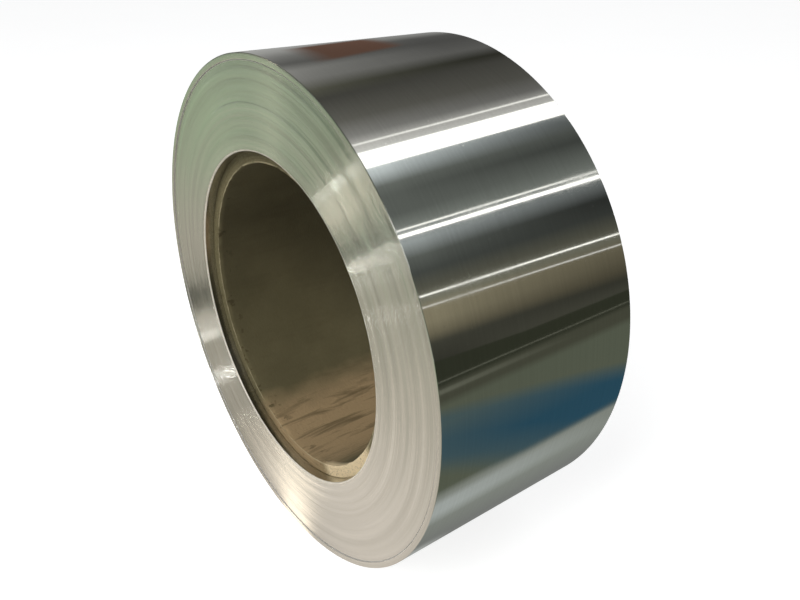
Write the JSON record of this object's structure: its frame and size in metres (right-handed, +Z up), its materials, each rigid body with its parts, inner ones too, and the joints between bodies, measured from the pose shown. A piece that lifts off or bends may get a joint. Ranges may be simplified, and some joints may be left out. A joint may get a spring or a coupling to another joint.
{
  "type": "steel strip coil",
  "caption": "Coil of thin mirror-bright steel strip wound on a recessed cardboard core, lying on its rim.",
  "frame": {"origin": "on the coil's axis, midway between its two end faces", "axes": "+X along the coil's axis, from the front end face to the back one; +Z up from the floor it lies on"},
  "size_m": [0.215, 0.5, 0.4998],
  "materials": {
    "steel_strip": "polished",
    "core_board": "matte"
  },
  "bodies": {
    "root": {"steel_coil": "steel_strip", "cardboard_core": "core_board"}
  },
  "joints": []
}
